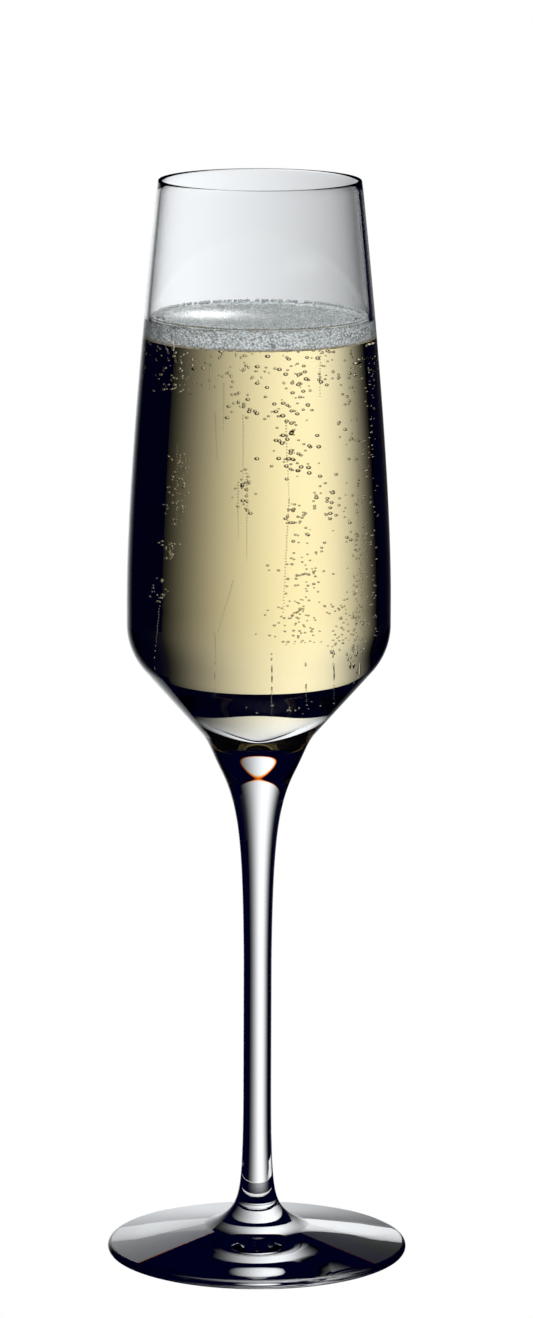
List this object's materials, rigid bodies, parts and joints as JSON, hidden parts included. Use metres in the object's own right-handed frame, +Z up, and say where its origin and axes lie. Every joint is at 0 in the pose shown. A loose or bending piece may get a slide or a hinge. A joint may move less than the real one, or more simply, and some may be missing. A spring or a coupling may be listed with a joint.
{
  "type": "champagne flute",
  "caption": "Tall stemmed crystal flute with a shouldered, closing bowl on a drawn stem and flat foot, filled with pale sparkling wine under a ring of foam.",
  "frame": {"origin": "centre of the foot, in the plane that the flute stands on", "axes": "+Z up the axis from the foot to the rim; the flute is turned about Z, so X and Y are any two level directions"},
  "size_m": [0.0624, 0.0624, 0.225],
  "materials": {
    "crystal": "clear fire-polished crystal",
    "champagne": "clear pale gold sparkling wine",
    "mousse": "wet foam of very fine bubbles"
  },
  "bodies": {
    "root": {"bowl": "crystal", "stem": "crystal", "foot": "crystal", "champagne": "champagne", "foam_collar": "mousse"}
  },
  "joints": []
}
